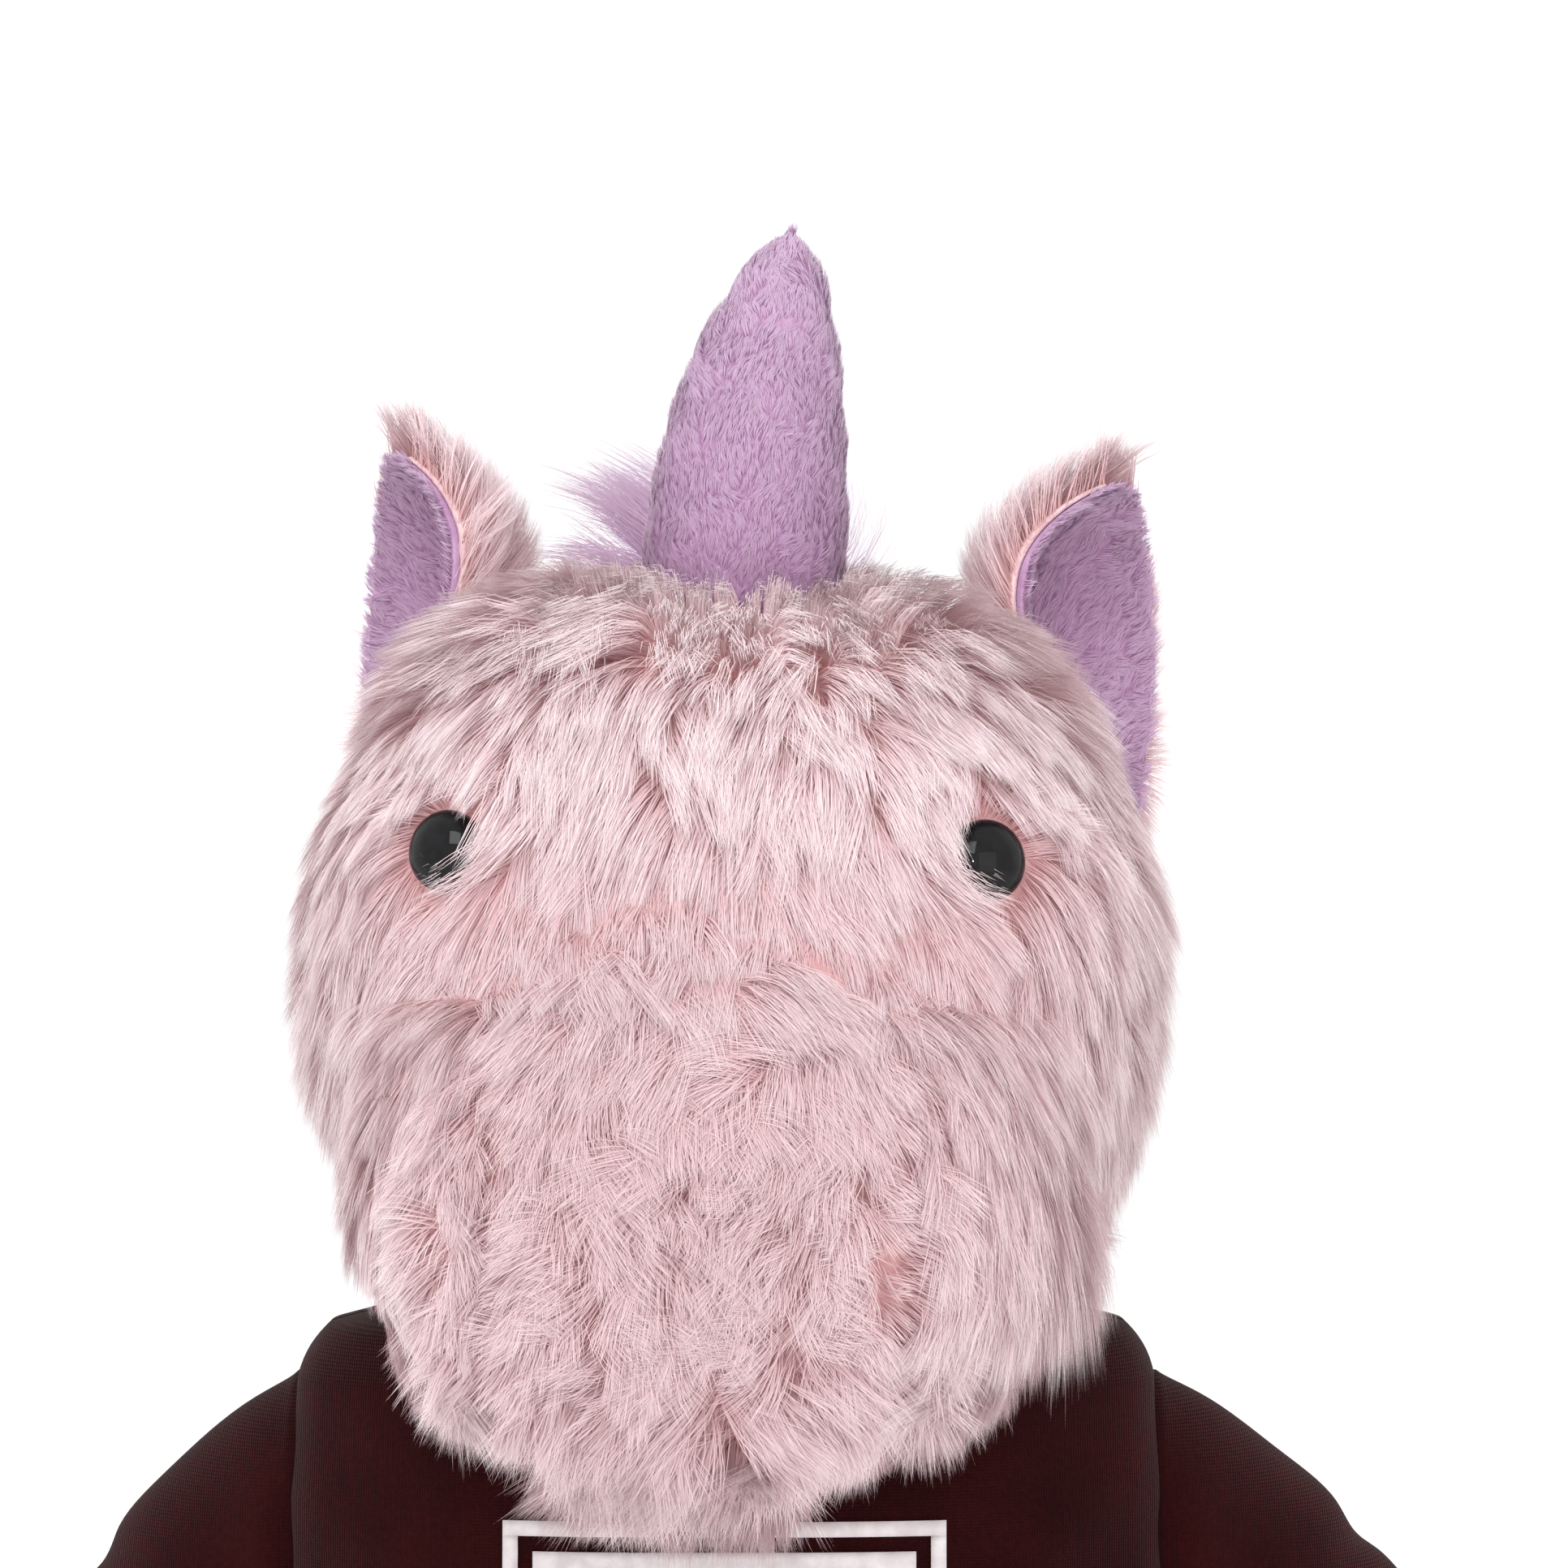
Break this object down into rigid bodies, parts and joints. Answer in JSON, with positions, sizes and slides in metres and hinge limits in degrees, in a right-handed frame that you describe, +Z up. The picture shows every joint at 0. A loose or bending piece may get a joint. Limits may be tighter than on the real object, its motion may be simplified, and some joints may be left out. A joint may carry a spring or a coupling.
{
  "type": "plush unicorn",
  "caption": "Seated stuffed unicorn in shaggy pale-pink fur fabric with a lavender horn, cupped ears, black safety eyes and a dark red knitted sweatshirt.",
  "frame": {"origin": "middle of the flat seat base, under the body", "axes": "+Z up, out of the seat towards the horn; -Y the way the face looks; +X the toy's own left"},
  "size_m": [0.3248, 0.2855, 0.3697],
  "materials": {
    "pink_fur": "shaggy long-pile fur fabric, pale pink with deeper pink roots",
    "lavender_plush": "short-pile minky, brushed",
    "lavender_long_pile": "long wispy pile",
    "sweatshirt_jersey": "fine knitted jersey, matt",
    "sweatshirt_rib": "ribbed knit, matt",
    "print_film": "flat screen-print film",
    "fibre_filling": "loose polyester fibre",
    "bean_cloth": "plain woven bag of pellets",
    "eye_plastic": "polished black",
    "washer_plastic": "natural nylon",
    "label_cloth": "satin ribbon, blank"
  },
  "bodies": {
    "torso": {"seat_panel": "pink_fur", "body_front": "pink_fur", "body_back": "pink_fur", "body_filling": "fibre_filling", "bean_bag": "bean_cloth", "shirt_front": "sweatshirt_jersey", "shirt_back": "sweatshirt_jersey", "shirt_hem_rib": "sweatshirt_rib", "shirt_collar_rib": "sweatshirt_rib", "shirt_print": "print_film", "care_label": "label_cloth"},
    "neck": {"neck": "pink_fur"},
    "head": {"head_gusset": "pink_fur", "head_panel_left": "pink_fur", "head_panel_right": "pink_fur", "head_filling": "fibre_filling", "eye_left": "eye_plastic", "eye_right": "eye_plastic", "eye_washer_left": "washer_plastic", "eye_washer_right": "washer_plastic", "mane_strip": "lavender_long_pile"},
    "horn": {"horn_cover": "lavender_plush", "horn_filling": "fibre_filling"},
    "ear_left": {"ear_back_left": "pink_fur", "ear_lining_left": "lavender_plush"},
    "ear_right": {"ear_back_right": "pink_fur", "ear_lining_right": "lavender_plush"},
    "tail": {"tail": "lavender_long_pile"},
    "arm_left": {"arm_skin_left": "pink_fur", "arm_hoof_left": "lavender_plush", "arm_filling_left": "fibre_filling", "sleeve_left": "sweatshirt_jersey", "cuff_left": "sweatshirt_rib"},
    "leg_left": {"leg_skin_left": "pink_fur", "leg_hoof_left": "lavender_plush", "sole_left": "lavender_plush", "leg_filling_left": "fibre_filling"},
    "arm_right": {"arm_skin_right": "pink_fur", "arm_hoof_right": "lavender_plush", "arm_filling_right": "fibre_filling", "sleeve_right": "sweatshirt_jersey", "cuff_right": "sweatshirt_rib"},
    "leg_right": {"leg_skin_right": "pink_fur", "leg_hoof_right": "lavender_plush", "sole_right": "lavender_plush", "leg_filling_right": "fibre_filling"}
  },
  "joints": [
    {"name": "head_turn", "type": "hinge", "parent": "torso", "child": "neck", "pos_m": [0, 0, 0.1653], "axis": [0, 0, 1], "range_deg": [-15, 15], "stiffness_Nm_per_rad": 1.2},
    {"name": "head_nod", "type": "hinge", "parent": "neck", "child": "head", "pos_m": [0, 0, 0.1765], "axis": [0.9992, -0.0349, -0.0175], "range_deg": [-8, 8], "stiffness_Nm_per_rad": 2.5},
    {"name": "horn_flex", "type": "hinge", "parent": "head", "child": "horn", "pos_m": [0.00434, -0.03617, 0.3025], "axis": [0.9992, -0.0349, -0.0175], "range_deg": [-8, 8], "stiffness_Nm_per_rad": 0.12},
    {"name": "ear_left_flop", "type": "hinge", "parent": "head", "child": "ear_left", "pos_m": [0.06075, -0.00412, 0.28212], "axis": [0.7683, 0.6032, -0.2141], "range_deg": [-12, 12], "stiffness_Nm_per_rad": 0.05},
    {"name": "ear_right_flop", "type": "hinge", "parent": "head", "child": "ear_right", "pos_m": [-0.05411, -0.00011, 0.28723], "axis": [0.7397, -0.6643, 0.1072], "range_deg": [-12, 12], "stiffness_Nm_per_rad": 0.05},
    {"name": "arm_left_swing", "type": "hinge", "parent": "torso", "child": "arm_left", "pos_m": [0.0814, 0, 0.124], "axis": [-1, 0, 0], "range_deg": [-25, 75], "stiffness_Nm_per_rad": 0.25},
    {"name": "arm_right_swing", "type": "hinge", "parent": "torso", "child": "arm_right", "pos_m": [-0.0814, 0, 0.124], "axis": [-1, 0, 0], "range_deg": [-25, 75], "stiffness_Nm_per_rad": 0.25},
    {"name": "leg_left_swing", "type": "hinge", "parent": "torso", "child": "leg_left", "pos_m": [0.0403, -0.012, 0.031], "axis": [-1, 0, 0], "range_deg": [-45, 15], "stiffness_Nm_per_rad": 0.5},
    {"name": "leg_right_swing", "type": "hinge", "parent": "torso", "child": "leg_right", "pos_m": [-0.0403, -0.012, 0.031], "axis": [-1, 0, 0], "range_deg": [-45, 15], "stiffness_Nm_per_rad": 0.5},
    {"name": "tail_swing", "type": "hinge", "parent": "torso", "child": "tail", "pos_m": [0, 0.066, 0.046], "axis": [0, 0, 1], "range_deg": [-25, 25], "stiffness_Nm_per_rad": 0.05}
  ]
}
